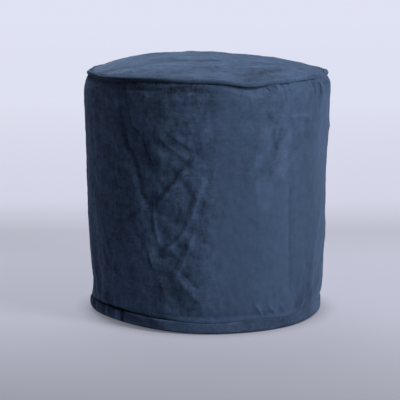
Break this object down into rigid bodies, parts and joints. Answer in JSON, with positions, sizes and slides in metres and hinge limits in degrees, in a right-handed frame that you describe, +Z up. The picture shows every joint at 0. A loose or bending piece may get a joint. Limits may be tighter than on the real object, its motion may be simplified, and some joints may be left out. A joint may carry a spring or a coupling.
{
  "type": "bean bag footstool",
  "caption": "Round soft footstool or pouf: a filled velvet drum with a piped, gently crowned top and a banded foot, to rest the feet on or to sit on.",
  "frame": {"origin": "middle of the flat base, on the surface that the footstool stands on", "axes": "+Z up through the middle of the top; -Y is the side that faces the viewer"},
  "size_m": [0.4409, 0.4393, 0.4613],
  "materials": {
    "side_velvet": "short-pile petrol-blue velvet with a crushed, mottled nap",
    "top_velvet": "the same velvet, its nap lying flatter and lighter across the crown",
    "piping_velvet": "the same velvet cut on the bias round a cord, with puckers",
    "band_velvet": "the same velvet in a narrow turned strip with a stitched join",
    "base_cloth": "plain close-woven cloth in a matching dark blue"
  },
  "bodies": {
    "root": {"side_panel": "side_velvet", "top_panel": "top_velvet", "top_piping": "piping_velvet", "base_band": "band_velvet", "base_panel": "base_cloth"}
  },
  "joints": []
}
